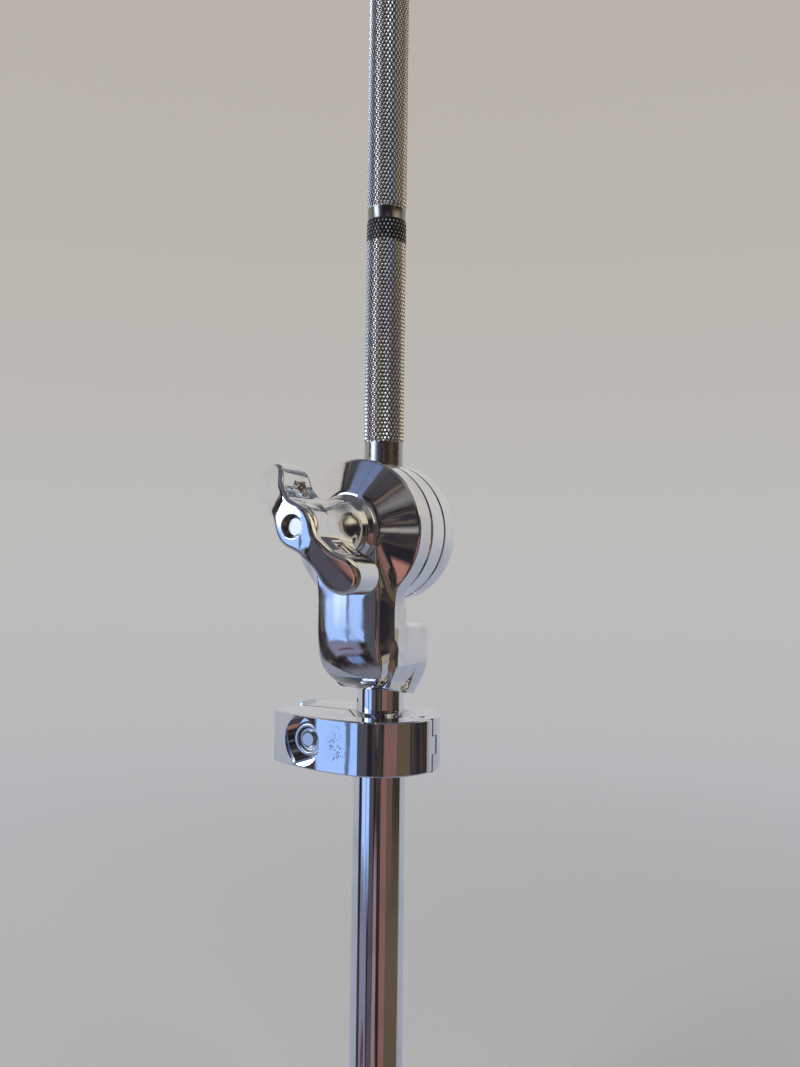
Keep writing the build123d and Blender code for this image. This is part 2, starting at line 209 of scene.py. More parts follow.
def cast_skin(name, field, low, high, cell):
    """Closed mesh where the field is 0, with the field's own normals. All in mm about the tilter bolt."""
    axes = [np.arange(lo - 2 * cell, hi + 3 * cell, cell) for lo, hi in zip(low, high)]
    inside = field(*np.meshgrid(*axes, indexing="ij")) < 0
    nx, ny, nz = inside.shape
    corners = np.zeros((nx - 1, ny - 1, nz - 1), int)
    for i in (0, 1):
        for j in (0, 1):
            for k in (0, 1):
                corners += inside[i:nx - 1 + i, j:ny - 1 + j, k:nz - 1 + k]
    mixed = (corners > 0) & (corners < 8)
    number = np.full(mixed.shape, -1)
    number[mixed] = np.arange(mixed.sum())
    places = np.argwhere(mixed)
    start = np.array([axis[0] for axis in axes])
    points = start + (places + 0.5) * cell
    faces = []
    square = ((0, 0), (1, 0), (1, 1), (0, 1))
    for axis in range(3):
        turned = np.moveaxis(inside, axis, 0)
        cells = np.moveaxis(number, axis, 0)
        edges = np.argwhere(turned[:-1, 1:-1, 1:-1] != turned[1:, 1:-1, 1:-1])
        i, j, k = edges.T
        faces.append(np.stack([cells[i, j + dj, k + dk] for dj, dk in square], 1))
    quads = np.concatenate(faces)
    points = settle(field, points, cell, 10)
    for _ in range(3):
        points = settle(field, evened(points, quads), cell, 3)
    bolt_place = np.array((0, 0, tilt_z))
    mesh = bpy.data.meshes.new(name)
    mesh.from_pydata((points * MM + bolt_place).tolist(), [], quads.tolist())
    work = bmesh.new()
    work.from_mesh(mesh)
    bmesh.ops.recalc_face_normals(work, faces=work.faces)
    work.to_mesh(mesh)
    work.free()
    mesh.polygons.foreach_set("use_smooth", [True] * len(mesh.polygons))
    normals = gradient(field, points)
    normals /= np.maximum(np.linalg.norm(normals, axis=1), 1e-9)[:, None]
    mesh.normals_split_custom_set_from_vertices(normals.tolist())
    obj = bpy.data.objects.new(name, mesh)
    bpy.context.scene.collection.objects.link(obj)
    return obj


# ---------------------------------------------------------------- materials

def node_maker(tree):
    """Short way to add a node and set its properties."""
    def add(kind, **given):
        node = tree.nodes.new(kind)
        for key, value in given.items():
            if hasattr(node, key):
                setattr(node, key, value)
        return node
    return add


def new_material(name):
    """Material with a Principled shader; returns it with its tree, shader and node maker."""
    material = bpy.data.materials.new(name)
    material.use_nodes = True
    tree = material.node_tree
    tree.nodes.clear()
    add = node_maker(tree)
    shader = add("ShaderNodeBsdfPrincipled")
    out = add("ShaderNodeOutputMaterial")
    tree.links.new(shader.outputs["BSDF"], out.inputs["Surface"])
    return material, tree, shader, add


def noise(tree, add, coords, scale, detail=4.0, stretch=(1, 1, 1)):
    """Noise over object coordinates, stretched along an axis if asked."""
    mapping = add("ShaderNodeMapping")
    mapping.inputs["Scale"].default_value = stretch
    tree.links.new(coords, mapping.inputs["Vector"])
    node = add("ShaderNodeTexNoise")
    node.inputs["Scale"].default_value = scale
    node.inputs["Detail"].default_value = detail
    tree.links.new(mapping.outputs["Vector"], node.inputs["Vector"])
    return node.outputs["Fac"]


def remap(tree, add, value, low, high, to_low, to_high):
    """Value from one range to another, clamped."""
    node = add("ShaderNodeMapRange")
    for key, number in (("From Min", low), ("From Max", high), ("To Min", to_low), ("To Max", to_high)):
        node.inputs[key].default_value = number
    tree.links.new(value, node.inputs["Value"])
    return node.outputs["Result"]


def maths(tree, add, operation, a, b=None):
    """One arithmetic step; a and b are sockets or numbers."""
    node = add("ShaderNodeMath", operation=operation)
    for socket, value in zip(node.inputs, (a, b)):
        if value is None:
            continue
        if isinstance(value, (int, float)):
            socket.default_value = value
        else:
            tree.links.new(value, socket)
    return node.outputs["Value"]


def mix_colour(tree, add, factor, first, second):
    """Mix of two colours; each is a socket or an RGB tuple."""
    node = add("ShaderNodeMix", data_type="RGBA")
    tree.links.new(factor, node.inputs["Factor"])
    sockets = [s for s in node.inputs if s.type == "RGBA"]
    for socket, value in zip(sockets, (first, second)):
        if isinstance(value, tuple):
            socket.default_value = (*value, 1)
        else:
            tree.links.new(value, socket)
    return [s for s in node.outputs if s.type == "RGBA"][0]


def bump(tree, add, shader, height, distance, strength=1.0):
    """Adds a bump to the shader's normal."""
    node = add("ShaderNodeBump")
    node.inputs["Strength"].default_value = strength
    node.inputs["Distance"].default_value = distance
    tree.links.new(height, node.inputs["Height"])
    tree.links.new(node.outputs["Normal"], shader.inputs["Normal"])
    return node


def chrome(name, tint=(0.78, 0.79, 0.81), gloss=0.035, smudge=0.07, ripple=0.004, pitted=None):
    """Chrome plate: soft ripple, handling smudges, hairline scratches and small pits round one place."""
    material, tree, shader, add = new_material(name)
    coords = add("ShaderNodeTexCoord").outputs["Object"]
    shader.inputs["Metallic"].default_value = 1.0
    smears = noise(tree, add, coords, 95, 5, (1, 1, 0.6))
    hair = noise(tree, add, coords, 900, 2, (1, 1, 0.05))
    smear_mask = remap(tree, add, smears, 0.48, 0.72, 0, 1)
    hair_mask = remap(tree, add, hair, 0.66, 0.74, 0, 1)
    rough = maths(tree, add, "MULTIPLY", smear_mask, smudge)
    rough = maths(tree, add, "ADD", rough, gloss)
    rough = maths(tree, add, "ADD", rough, maths(tree, add, "MULTIPLY", hair_mask, 0.05))
    dull = tuple(0.86 * c for c in tint)
    colour = mix_colour(tree, add, smear_mask, tint, dull)
    swell = noise(tree, add, coords, 160, 2)
    height = maths(tree, add, "ADD", swell, maths(tree, add, "MULTIPLY", hair_mask, -0.02))
    if pitted:
        cells = add("ShaderNodeTexVoronoi")
        cells.inputs["Scale"].default_value = 1500
        tree.links.new(coords, cells.inputs["Vector"])
        spots = remap(tree, add, cells.outputs["Distance"], 0.30, 0.42, 1, 0)
        squashed = add("ShaderNodeVectorMath", operation="MULTIPLY")
        squashed.inputs[1].default_value = (1, 1, 0.45)
        tree.links.new(coords, squashed.inputs[0])
        away = add("ShaderNodeVectorMath", operation="DISTANCE")
        tree.links.new(squashed.outputs["Vector"], away.inputs[0])
        away.inputs[1].default_value = (pitted[0], pitted[1], 0.45 * pitted[2])
        near = remap(tree, add, away.outputs["Value"], 1.2 * MM, 4.8 * MM, 0.30, 0)
        where = maths(tree, add, "ADD", noise(tree, add, coords, 420, 4, (1, 1, 0.6)), near)
        spots = maths(tree, add, "MULTIPLY", spots, remap(tree, add, where, 0.72, 0.78, 0, 1))
        colour = mix_colour(tree, add, spots, colour, (0.09, 0.07, 0.05))
        rough = maths(tree, add, "ADD", rough, maths(tree, add, "MULTIPLY", spots, 0.5))
        height = maths(tree, add, "ADD", height, maths(tree, add, "MULTIPLY", spots, -0.3))
    tree.links.new(colour, shader.inputs["Base Color"])
    tree.links.new(rough, shader.inputs["Roughness"])
    bump(tree, add, shader, height, ripple * MM)
    return material


def knurl_chrome(name, paint_low, paint_high, worn_r):
    """Satin chrome with painted shade darkening the grooves, and a black band whose points are worn bright.
    """
    material, tree, shader, add = new_material(name)
    coords = add("ShaderNodeTexCoord").outputs["Object"]
    split = add("ShaderNodeSeparateXYZ")
    tree.links.new(coords, split.inputs["Vector"])
    square_x = maths(tree, add, "POWER", split.outputs["X"], 2.0)
    square_y = maths(tree, add, "POWER", split.outputs["Y"], 2.0)
    radius = maths(tree, add, "SQRT", maths(tree, add, "ADD", square_x, square_y))
    tips = remap(tree, add, radius, worn_r - 0.24 * MM, worn_r - 0.08 * MM, 0, 1)
    # painted shade: mask that grows towards the bottoms of the knurl grooves
    groove_shade = remap(tree, add, radius, worn_r - 0.44 * MM, worn_r - 0.20 * MM, 1, 0)
    patches = noise(tree, add, coords, 260, 4)
    edge = maths(tree, add, "MULTIPLY", maths(tree, add, "SUBTRACT", patches, 0.5), 0.006)
    height = maths(tree, add, "ADD", split.outputs["Z"], edge)
    above = remap(tree, add, height, paint_low, paint_low + 0.3 * MM, 0, 1)
    below = remap(tree, add, split.outputs["Z"], paint_high, paint_high + 0.1 * MM, 1, 0)
    band = maths(tree, add, "MULTIPLY", above, below)
    wear = remap(tree, add, noise(tree, add, coords, 900, 2), 0.34, 0.48, 0, 1)
    bare = maths(tree, add, "MULTIPLY", tips, wear)
    paint = maths(tree, add, "MULTIPLY", band, maths(tree, add, "SUBTRACT", 1.0, bare))
    # painted shade: groove bottoms darkened almost to the dark colour below
    groove_shade = maths(tree, add, "MULTIPLY", groove_shade, 0.92)
    metal = mix_colour(tree, add, groove_shade, (1.0, 1.0, 0.97), (0.10, 0.095, 0.085))
    colour = mix_colour(tree, add, paint, metal, (0.008, 0.008, 0.010))
    tree.links.new(colour, shader.inputs["Base Color"])
    tree.links.new(maths(tree, add, "SUBTRACT", 1.0, paint), shader.inputs["Metallic"])
    rough = remap(tree, add, noise(tree, add, coords, 700, 3), 0.3, 0.7, 0.16, 0.30)
    tree.links.new(maths(tree, add, "ADD", rough, maths(tree, add, "MULTIPLY", paint, 0.2)),
                   shader.inputs["Roughness"])
    return material


def plain_metal(name, colour, roughness, grain=0.06, metallic=1.0):
    """Zinc, bronze or blackened steel, with turning grain."""
    material, tree, shader, add = new_material(name)
    coords = add("ShaderNodeTexCoord").outputs["Object"]
    shader.inputs["Metallic"].default_value = metallic
    marks = noise(tree, add, coords, 1400, 3, (1, 0.2, 1))
    worn = tuple(0.7 * c for c in colour)
    tree.links.new(mix_colour(tree, add, marks, worn, colour), shader.inputs["Base Color"])
    rough = remap(tree, add, marks, 0.25, 0.75, roughness - grain, roughness + grain)
    tree.links.new(rough, shader.inputs["Roughness"])
    bump(tree, add, shader, marks, 0.01 * MM, 0.5)
    return material


def moulded(name, colour, roughness):
    """Moulded plastic or friction fibre with a fine grain."""
    material, tree, shader, add = new_material(name)
    coords = add("ShaderNodeTexCoord").outputs["Object"]
    grain = noise(tree, add, coords, 2200, 4)
    pale = tuple(min(1.0, 1.6 * c + 0.01) for c in colour)
    tree.links.new(mix_colour(tree, add, grain, colour, pale), shader.inputs["Base Color"])
    rough = remap(tree, add, grain, 0.3, 0.7, roughness, roughness + 0.15)
    tree.links.new(rough, shader.inputs["Roughness"])
    bump(tree, add, shader, grain, 0.02 * MM, 0.6)
    return material


# ---------------------------------------------------------------- rod and tube

ROD_R = 7.0
KNURL_R = 7.37
KNURL_ROOT_R = 6.88
STARTS = 32                 # helical grooves each hand
SPLIT = 4                   # mesh steps between grooves
KNURL_PITCH = 2.65          # along the rod
GROOVE_R = ROD_R - 0.05     # plain band above the black one
PLUG_HOLE_R = 3.5           # hole for the plug in the rod's lower end
PLUG_HOLE_DEPTH = 9
TAIL = (rod_low.z - tilt_z) / MM
TOP = (rod_high.z - tilt_z) / MM
GRIP_TOP = 20.0             # knurl that the eye grips
KNURL_START, KNURL_END = 32.3, 218.0
GROOVE_LOW, GROOVE_HIGH = 113.6, 117.8


def knurl_height(row, half_step):
    """Height of the knurl from 0 in a groove to 1 on a point."""
    nearest = 1.0
    for phase in ((half_step + row) / (2 * SPLIT), (half_step - row) / (2 * SPLIT)):
        nearest = min(nearest, 1 - abs(2 * (phase % 1) - 1))
    return min(1.0, 1.2 * nearest)


def knurl_rows(low, high):
    """Rows of one knurled stretch: (z, stagger, radii)."""
    count = STARTS * SPLIT
    step = KNURL_PITCH / (2 * SPLIT)
    total = 2 * int((high - low) / step / 2)
    rows = []
    for r in range(total + 1):
        z = low + (high - low) * r / total
        fade = min(1.0, min(r, total - r) / 3.0)
        radii = []
        for c in range(count):
            height = knurl_height(r, 2 * c + r % 2)
            full = KNURL_ROOT_R + (KNURL_R - KNURL_ROOT_R) * height
            radii.append(ROD_R + (full - ROD_R) * fade)
        rows.append((z, r % 2, radii))
    return rows


def plain_row(radius, z):
    """One round row of the rod."""
    return (z, 0, [radius] * (STARTS * SPLIT))


def make_rod():
    """Boom rod with a true diamond knurl, a plain band, a groove and a plain end."""
    count = STARTS * SPLIT
    rows = [plain_row(PLUG_HOLE_R, TAIL + PLUG_HOLE_DEPTH), plain_row(PLUG_HOLE_R, TAIL)]
    rows += [plain_row(6.3, TAIL), plain_row(6.8, TAIL + 0.5)]
    rows += knurl_rows(TAIL + 0.9, GRIP_TOP)
    rows += [plain_row(ROD_R, GRIP_TOP + 0.2), plain_row(ROD_R, KNURL_START - 0.3)]
    rows += knurl_rows(KNURL_START, GROOVE_LOW)
    rows += [plain_row(GROOVE_R, GROOVE_LOW + 0.2), plain_row(GROOVE_R, GROOVE_HIGH - 0.2)]
    rows += knurl_rows(GROOVE_HIGH, KNURL_END)
    rows += [plain_row(ROD_R, KNURL_END + 0.2), plain_row(ROD_R, TOP - 1.0)]
    rows += [plain_row(ROD_R - 0.3, TOP - 0.3), plain_row(ROD_R - 1.0, TOP)]
    verts, faces = [], []
    for z, stagger, radii in rows:
        for c, radius in enumerate(radii):
            a = 2 * math.pi * (c + 0.5 * stagger) / count
            verts.append(Vector((radius * math.cos(a) * MM, radius * math.sin(a) * MM, tilt_z + z * MM)))
    for r, (low, high) in enumerate(zip(rows, rows[1:])):
        faces += row_faces(r * count, (r + 1) * count, low, high, count)
    ends = [len(verts), len(verts) + 1]
    verts += [Vector((0, 0, tilt_z + (TAIL + PLUG_HOLE_DEPTH) * MM)), Vector((0, 0, rod_high.z))]
    for c in range(count):
        n = (c + 1) % count
        faces.append([ends[0], n, c])
        faces.append([ends[1], (len(rows) - 1) * count + c, (len(rows) - 1) * count + n])
    rod = make_object("boom_rod_knurled", verts, faces)
    shade(rod, 18)
    return rod


def row_faces(low_start, high_start, low, high, count):
    """Faces between two rows of the rod, which may be staggered by half a step."""
    faces = []
    for c in range(count):
        n, p = (c + 1) % count, (c - 1) % count
        if low[1] == high[1]:
            faces.append([low_start + c, low_start + n, high_start + n, high_start + c])
        elif low[1] == 0:
            faces.append([low_start + c, high_start + c, high_start + p])
            faces.append([low_start + c, low_start + n, high_start + c])
        else:
            faces.append([low_start + c, high_start + n, high_start + c])
            faces.append([low_start + c, low_start + n, high_start + n])
    return faces


NECK_R = 8.65
TUBE_BORE_R = 8.0
NECK_BORE_R = 7.65
NECK_START = -68.0
TUBE_TOP = -39.0
SPIGOT_R = 9.325
SPIGOT_TOP = 25.0


def make_tube():
    """Drawn tube with a swaged neck, a sized lower end and softened edges."""
    radius = tube_r / MM
    top, neck = tilt_z / MM + TUBE_TOP, tilt_z / MM + NECK_START
    outer = rounded([
        (TUBE_BORE_R, 6.0, 0), (TUBE_BORE_R, 0, 0.3), (SPIGOT_R, 0, 0.5), (SPIGOT_R, SPIGOT_TOP, 0),
        (radius, SPIGOT_TOP + 0.2, 0), (radius, neck - 1.0, 0.4), (NECK_R, neck, 0.4), (NECK_R, top, 0),
    ])
    inner = [(NECK_BORE_R, top), (NECK_BORE_R, neck - 1.0), (TUBE_BORE_R, neck - 2.0)]
    tube = lathe("tube_drawn", outer + inner, "Z", segments=160, closed=True)
    shade(tube)
    return tube


# ---------------------------------------------------------------- tilter body

FRONT_Y = body_low.y / MM           # flat front
BACK_Y = -10.2
HEAD_R = disc_r / MM
BOSS_R = 12.3                       # head's flat front
HEAD_SPREAD = 12.7                  # how much wider the head is at its rim
NECK_HALF = 12.1                    # half the neck's width at its front
NECK_BACK_HALF = 14.5
CROWN, CROWN_AT = 1.35, 11.5        # at this distance from its middle, the neck lies this far back
FOOT_Z, FOOT_SLOPE = -55.0, 0.18    # lower edge, which falls towards the back
SOCKET_HALF, SOCKET_FRONT, SOCKET_BACK = 14.6, 16.5, 16.0
WEB_R = 9.2                         # column between the head and the socket
ROD_CHANNEL_R, TUBE_HOLE_R, EYE_HOLE_R, STUD_HOLE_R = 7.75, 8.65, 11.0, 5.6
CURVE_Z = -33.0                     # below this height the front curves back
CURVE_HEIGHT, CURVE_DEPTH = 22.5, 15.2
SOCKET_TOP, SOCKET_TAPER = -33.0, -46.5


def keyhole_field(x, z, head_r, neck_half, blend_r):
    """Round head on a neck, with concave blends between them."""
    side = np.abs(x)
    head = np.hypot(side, z) - head_r
    neck = np.where(z < 0, side - neck_half, 99.0)
    cx = neck_half + blend_r
    cz = -np.sqrt((head_r + blend_r) ** 2 - cx**2)
    in_blend = (z > cz) & (side < cx) & (side * cz > z * cx)
    blend = np.where(in_blend, blend_r - np.hypot(side - cx, z - cz), 99.0)
    return np.minimum(np.minimum(head, neck), blend)


def front_face(x, z):
    """Depth of the body's front: softly crowned, and curving back below the neck."""
    drop = np.clip((CURVE_Z - z) / CURVE_HEIGHT, 0, 0.97)
    crown = CROWN * (x / CROWN_AT) ** 2 * ramp(-z, 12, 24)
    return FRONT_Y + CURVE_DEPTH * (1 - np.sqrt(1 - drop**2)) + crown


def body_field(x, y, z):
    """Cast head, neck and tube socket, with the bores for the rod, the tube and the eye."""
    front = front_face(x, z)
    rim = -18.5 + 2.0 * ramp(-z, 18, 26) + 11.0 * ramp(-z, 36, 50)
    depth = (y - front) / np.maximum(rim - front, 2.0)
    t = np.clip(smooth_min(depth, 1.0, 0.06), 0, 1)
    half = NECK_HALF + (NECK_BACK_HALF - NECK_HALF) * t
    outline = keyhole_field(x, z, BOSS_R + HEAD_SPREAD * t, half, 30 - 16 * t)
    low = FOOT_Z - FOOT_SLOPE * np.clip(y + 12, 0, 25)
    corner = 10.5 + 2.5 * t
    foot = rounded_box(x, z, half, -low, corner)
    outline = np.maximum(outline, np.where(z < low + corner + 2, foot, -99.0))
    back = BACK_Y + 2.2 * ramp(-z, 25.4, 27) + 16 * ramp(-z, 32.5, 34.5)
    shell = smooth_max(0.87 * outline, front - y, 0.9)
    shell = smooth_max(shell, y - back, 0.4)
    inset = 0.36 * np.maximum(SOCKET_TAPER - z, 0)
    plan_back = rounded_box(x, y, SOCKET_HALF, SOCKET_BACK, 11.0)
    plan_front = rounded_box(x, y, SOCKET_HALF, SOCKET_FRONT, 3.0) + 0.5 * inset
    plan = np.where(y > 0, plan_back, plan_front) + inset
    socket = smooth_max(0.94 * plan, z - SOCKET_TOP, 1.2)
    socket = smooth_max(socket, low - z, 0.9)
    web = np.maximum(np.hypot(x, y) - WEB_R, np.maximum(z + 19, -36 - z))
    body = np.minimum(smooth_min(shell, socket, 1.2), web)
    across, along = np.hypot(x, z), np.hypot(x, y)
    clear = np.maximum(across - HEAD_R - 0.35, BACK_Y - y)
    rod_bore = np.maximum(along - ROD_CHANNEL_R, -34.5 - z)
    tube_bore = np.maximum(along - TUBE_HOLE_R, z - SOCKET_TOP)
    eye_bore = np.maximum(across - EYE_HOLE_R, -13.5 - y)
    openings = np.minimum(np.minimum(clear, rod_bore), np.minimum(tube_bore, eye_bore))
    openings = np.minimum(openings, across - STUD_HOLE_R)
    return smooth_max(body, -openings, 0.25)


# ---------------------------------------------------------------- wing nut and washer

WING_TURN = math.radians(132.0)
WING_REACH = 26.5
LOBE_R = 6.35
LOBE_CENTRE = WING_REACH - LOBE_R
BAR_HALF = 4.4                      # half the width between the lobes
HUB_R, HUB_FLARE = 6.9, 3.8
NUT_FRONT = nut_low.y / MM + 0.01
NUT_BACK = nut_high.y / MM
LOBE_BACK = -36.5
SCREW_HOLE_R = 3.7
INSERT_R = 6.0
WASHER_HOLE_R = 4.3
LOCK_NUT_HOLE_R = 3.05


def wing_nut_field(x, y, z):
    """Cast wing nut: swept-back wings on a tapered hub, all softly blended."""
    u = np.abs(x * math.cos(WING_TURN) + z * math.sin(WING_TURN))
    w = np.abs(z * math.cos(WING_TURN) - x * math.sin(WING_TURN))
    radius = np.hypot(u, w)
    lobe = np.hypot(u - LOBE_CENTRE, w) - LOBE_R
    bar = smooth_max(w - BAR_HALF, u - LOBE_CENTRE, 1)
    plan = smooth_min(smooth_min(lobe, bar, 2.5), radius - 7.0, 3.0)
    sweep = 0.25 * (u - 8.5 + np.sqrt((u - 8.5) ** 2 + 14)) - 0.20
    front = 0.9 * (NUT_FRONT + np.maximum(sweep, 0) + 0.014 * w**2 - y)
    wings = smooth_max(smooth_max(plan, front, 1.7), y - LOBE_BACK, 1.5)
    hub = 0.95 * (radius - HUB_R - HUB_FLARE * ramp(y, -47, -30.5))
    hub = smooth_max(smooth_max(hub, NUT_FRONT + 4 - y, 1.0), y - NUT_BACK, 0.5)
    nut = smooth_min(wings, hub, 2.4)
    slant = 0.55 * (u - 12.6)
    pit = smooth_max(rounded_box(u - 12.8, y + 45.2 - slant, 2.9, 3.1, 1.0), 3.2 - w, 0.5)
    nut = smooth_max(nut, -pit, 0.7)
    bore = np.minimum(np.maximum(radius - SCREW_HOLE_R, y + 48), np.maximum(radius - INSERT_R, -50 - y))
    return smooth_max(nut, -bore, 0.35)


def make_washer():
    """Domed thrust washer."""
    back, front = washer_high.y / MM, washer_low.y / MM
    outer = washer_high.x / MM
    profile = rounded([
        (WASHER_HOLE_R, back, 0), (outer, back, 0.3), (outer, front + 1.2, 0.8), (outer - 1.7, front, 0.6),
        (WASHER_HOLE_R, front, 0),
    ])
    washer = lathe("thrust_washer_domed", profile, "Y", (0, 0, tilt_z), 128, closed=True)
    shade(washer)
    return washer


def make_lock_nut():
    """Round nut in the memory lock, with a rounded front ring and a sunk thread mouth."""
    low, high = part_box("lock_nut")
    centre = ((low.x + high.x) / 2, 0, (low.z + high.z) / 2)
    front, back, outer = low.y / MM, high.y / MM, (high.x - low.x) / 2 / MM
    profile = rounded([
        (LOCK_NUT_HOLE_R, back, 0), (outer, back, 0.2), (outer, front + 0.9, 0.6), (outer - 0.9, front, 0.6),
        (4.5, front, 0.3), (3.9, front + 1.3, 0.3), (LOCK_NUT_HOLE_R, front + 1.3, 0),
    ])
    nut = lathe("lock_nut_turned", profile, "Y", centre, 96, closed=True)
    shade(nut)
    return nut


# ---------------------------------------------------------------- stage, light and camera

def world_card(tree, add, angles, under, az, el, soft, colour):
    """Lays a soft-edged patch of colour over the surroundings, between two azimuths and two elevations."""
    masks = []
    for value, (low, high) in zip(angles, (az, el)):
        masks.append(remap(tree, add, value, low - soft, low + soft, 0, 1))
        masks.append(remap(tree, add, value, high - soft, high + soft, 1, 0))
    mask = masks[0]
    for other in masks[1:]:
        mask = maths(tree, add, "MULTIPLY", mask, other)
    return mix_colour(tree, add, mask, under, colour)


ROOM = (-68, 134)           # azimuths where the dim room is
CARDS = [
    # azimuth and elevation in degrees, softness, linear colour
    ((-200, 200), (52, 95), 8.0, (0.13, 0.13, 0.14)),         # ceiling
    (ROOM, (-95, -52), 6.0, (0.20, 0.21, 0.25)),              # pale ground
    ((-50, -14), (-20, 60), 1.2, (0.20, 0.25, 0.42)),         # window's upper part
    ((-50, -14), (-18, 26), 1.5, (0.50, 0.74, 1.30)),         # window
    ((-50, -30), (-1, 12), 3.0, (1.7, 1.9, 2.2)),             # bright sky
    ((-30, -27), (-20, 60), 0.5, (0.16, 0.20, 0.33)),         # window frame
    ((-52, -20), (-34, -19), 2.0, (0.25, 0.25, 0.36)),        # sill and floor below it
    ((-44, -26), (-28, -26), 0.5, (0.17, 0.06, 0.08)),        # dull red rail
    ((-40, -24), (-46, -36), 2.0, (0.20, 0.27, 0.50)),        # window's glow on the floor
    ((-13, 5), (-60, 30), 2.0, (0.10, 0.095, 0.12)),          # wall beside the window
    ((22, 36), (0, 4), 1.2, (0.40, 0.37, 0.33)),              # shelf edge
    ((20, 52), (26, 60), 4.0, (0.26, 0.25, 0.24)),            # grey wall, high up
    ((70, 120), (18, 58), 4.0, (1.05, 0.92, 0.66)),           # lamp-lit wall, high on the right
    ((8, 23), (-28, -17), 1.5, (0.36, 0.24, 0.25)),           # tan box
    ((9, 27), (-47, -28), 2.0, (0.50, 0.23, 0.18)),           # warm rug
    ((37, 63), (-30, -5), 1.5, (0.27, 0.14, 0.125)),          # red-brown chest
    ((63, 88), (-60, 20), 1.5, (0.15, 0.105, 0.065)),         # brown door
    ((63, 134), (-60, -17), 3.0, (0.14, 0.10, 0.07)),         # brown floor
    ((128, 134), (-50, 40), 1.0, (0.42, 0.36, 0.26)),         # pale door frame
]


def set_stops(shades, stops):
    """Sets a colour ramp from (place, colour) stops."""
    elements = shades.color_ramp.elements
    for element, (place, tone) in zip((elements[0], elements[1]), (stops[0], stops[-1])):
        element.position = place
        element.color = (*tone, 1)
    for place, tone in stops[1:-1]:
        elements.new(place).color = (*tone, 1)


def direction_noise(tree, add, direction, scale, detail):
    """Noise over the directions round the object."""
    join = add("ShaderNodeCombineXYZ")
    for part, socket in zip(direction, join.inputs):
        tree.links.new(part, socket)
    return noise(tree, add, join.outputs["Vector"], scale, detail, (1, 1, 0.45))


def uneven(tree, add, angle, direction, scale, sway):
    """Angle swayed a few degrees either way, so that nothing in the room has ruler-straight edges."""
    wave = maths(tree, add, "SUBTRACT", direction_noise(tree, add, direction, scale, 3), 0.5)
    return maths(tree, add, "ADD", angle, maths(tree, add, "MULTIPLY", wave, sway))


def room_clutter(tree, add, direction):
    """Dim shapes of an ordinary room, mostly near black with some brown and a little tan."""
    shapes = direction_noise(tree, add, direction, 7.5, 3)
    shades = add("ShaderNodeValToRGB")
    tree.links.new(shapes, shades.inputs["Fac"])
    set_stops(shades, [(0.0, (0.018, 0.018, 0.024)), (0.47, (0.024, 0.022, 0.028)),
                       (0.53, (0.075, 0.055, 0.045)), (0.60, (0.030, 0.030, 0.045)),
                       (0.66, (0.17, 0.13, 0.09)), (1.0, (0.30, 0.24, 0.17))])
    return shades.outputs["Color"]


def make_world():
    """Pale studio backdrop; polished parts see a window, a dim room and a pale wall."""
    world = bpy.data.worlds.new("studio")
    bpy.context.scene.world = world
    world.use_nodes = True
    tree = world.node_tree
    tree.nodes.clear()
    add = node_maker(tree)
    split = add("ShaderNodeSeparateXYZ")
    tree.links.new(add("ShaderNodeTexCoord").outputs["Generated"], split.inputs["Vector"])
    x, y, z = (split.outputs[name] for name in "XYZ")
    minus_y = maths(tree, add, "MULTIPLY", y, -1.0)
    azimuth = maths(tree, add, "DEGREES", maths(tree, add, "ARCTAN2", x, minus_y))
    level = maths(tree, add, "DEGREES", maths(tree, add, "ARCSINE", z))
    azimuth = uneven(tree, add, azimuth, (x, y, z), 11.0, 7.0)
    elevation = uneven(tree, add, level, (z, x, y), 9.0, 7.0)
    shades = add("ShaderNodeValToRGB")
    tree.links.new(remap(tree, add, level, -60, 60, 0, 1), shades.inputs["Fac"])
    set_stops(shades, [(0.0, (0.40, 0.42, 0.48)), (0.32, (0.45, 0.46, 0.50)), (0.5, (0.51, 0.505, 0.495)),
                       (0.68, (0.49, 0.46, 0.42)), (1.0, (0.46, 0.42, 0.37))])
    backdrop = shades.outputs["Color"]
    wall = add("ShaderNodeValToRGB")
    tree.links.new(remap(tree, add, elevation, -60, 60, 0, 1), wall.inputs["Fac"])
    set_stops(wall, [(0.0, (0.28, 0.30, 0.36)), (0.33, (0.42, 0.45, 0.53)), (0.5, (0.60, 0.60, 0.60)),
                     (0.7, (0.66, 0.64, 0.61)), (1.0, (0.60, 0.56, 0.50))])
    colour = world_card(tree, add, (azimuth, elevation), wall.outputs["Color"], ROOM, (-90, 90), 2.0,
                        room_clutter(tree, add, (x, y, z)))
    for az, el, soft, tone in CARDS:
        colour = world_card(tree, add, (azimuth, elevation), colour, az, el, soft, tone)
    seen = add("ShaderNodeLightPath").outputs["Is Camera Ray"]
    colour = mix_colour(tree, add, seen, colour, backdrop)
    background = add("ShaderNodeBackground")
    tree.links.new(colour, background.inputs["Color"])
    out = add("ShaderNodeOutputWorld")
    tree.links.new(background.outputs["Background"], out.inputs["Surface"])


